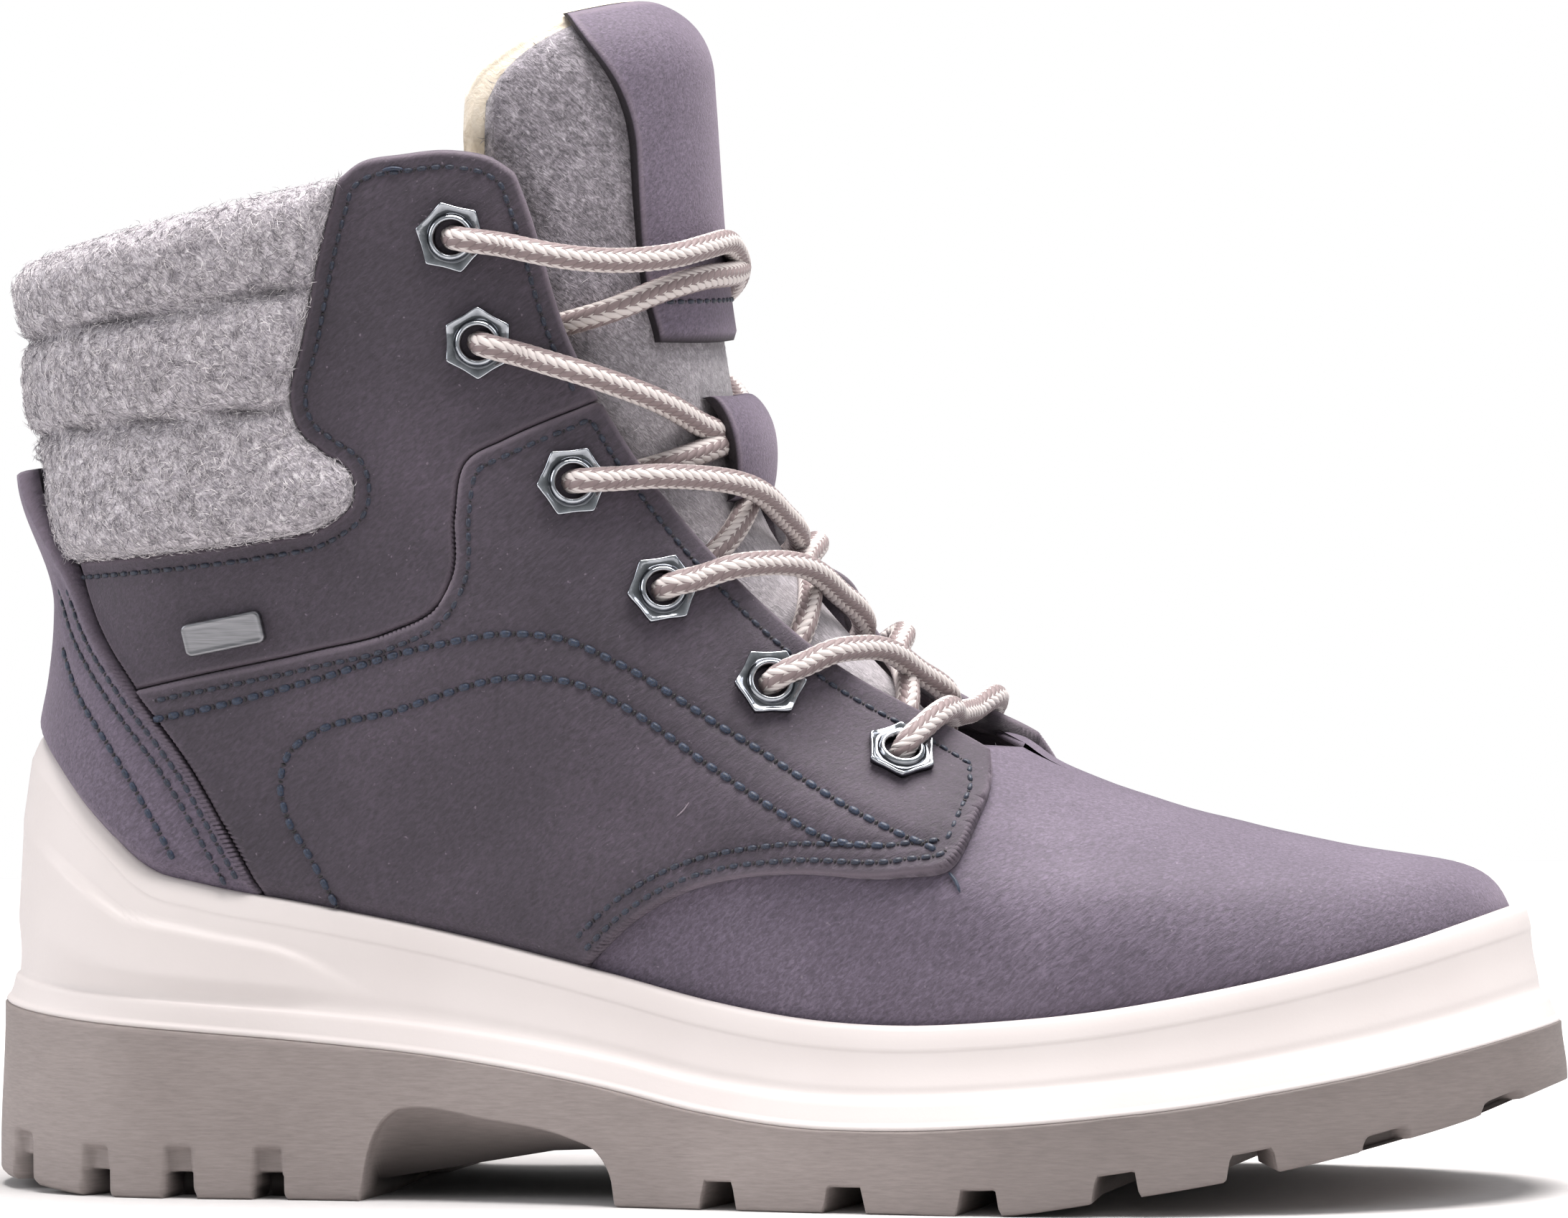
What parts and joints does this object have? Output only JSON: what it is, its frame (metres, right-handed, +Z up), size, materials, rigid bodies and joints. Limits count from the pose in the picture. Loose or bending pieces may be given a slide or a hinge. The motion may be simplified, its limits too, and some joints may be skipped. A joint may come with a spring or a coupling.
{
  "type": "winter boot",
  "caption": "Lace-up winter boot with leather panels, quilted felt collar and tongue, metal eyelets, cup midsole and lugged outsole.",
  "frame": {"origin": "on the floor under the middle of the boot's bounding box", "axes": "+X from heel to toe, +Y to the medial side, +Z up from the floor"},
  "size_m": [0.2852, 0.1072, 0.213],
  "materials": {
    "outsole_rubber": "moulded matte rubber",
    "midsole_foam": "moulded satin foam rubber",
    "fleece": "short wool pile",
    "nubuck": "oiled nubuck",
    "felt": "heather wool felt",
    "eyelet_metal": "polished gunmetal",
    "lace": "round braid of white and mauve-grey yarn",
    "plate_metal": "brushed pewter"
  },
  "bodies": {
    "root": {"outsole": "outsole_rubber", "midsole": "midsole_foam", "insole": "fleece", "upper": "nubuck", "tongue": "felt", "felt_collar": "felt", "quarter_lateral": "nubuck", "quarter_medial": "nubuck", "shaft_lateral": "nubuck", "shaft_medial": "nubuck", "heel_counter": "nubuck", "tongue_strip": "nubuck", "tongue_loop": "nubuck", "eyelet_lateral_1": "eyelet_metal", "eyelet_lateral_2": "eyelet_metal", "eyelet_lateral_3": "eyelet_metal", "eyelet_lateral_4": "eyelet_metal", "eyelet_lateral_5": "eyelet_metal", "eyelet_lateral_6": "eyelet_metal", "eyelet_medial_1": "eyelet_metal", "eyelet_medial_2": "eyelet_metal", "eyelet_medial_3": "eyelet_metal", "eyelet_medial_4": "eyelet_metal", "eyelet_medial_5": "eyelet_metal", "eyelet_medial_6": "eyelet_metal", "lace_cross_1": "lace", "lace_cross_2": "lace", "lace_cross_3": "lace", "lace_cross_4": "lace", "lace_cross_5": "lace", "lace_bar": "lace", "badge_plate": "plate_metal"}
  },
  "joints": []
}
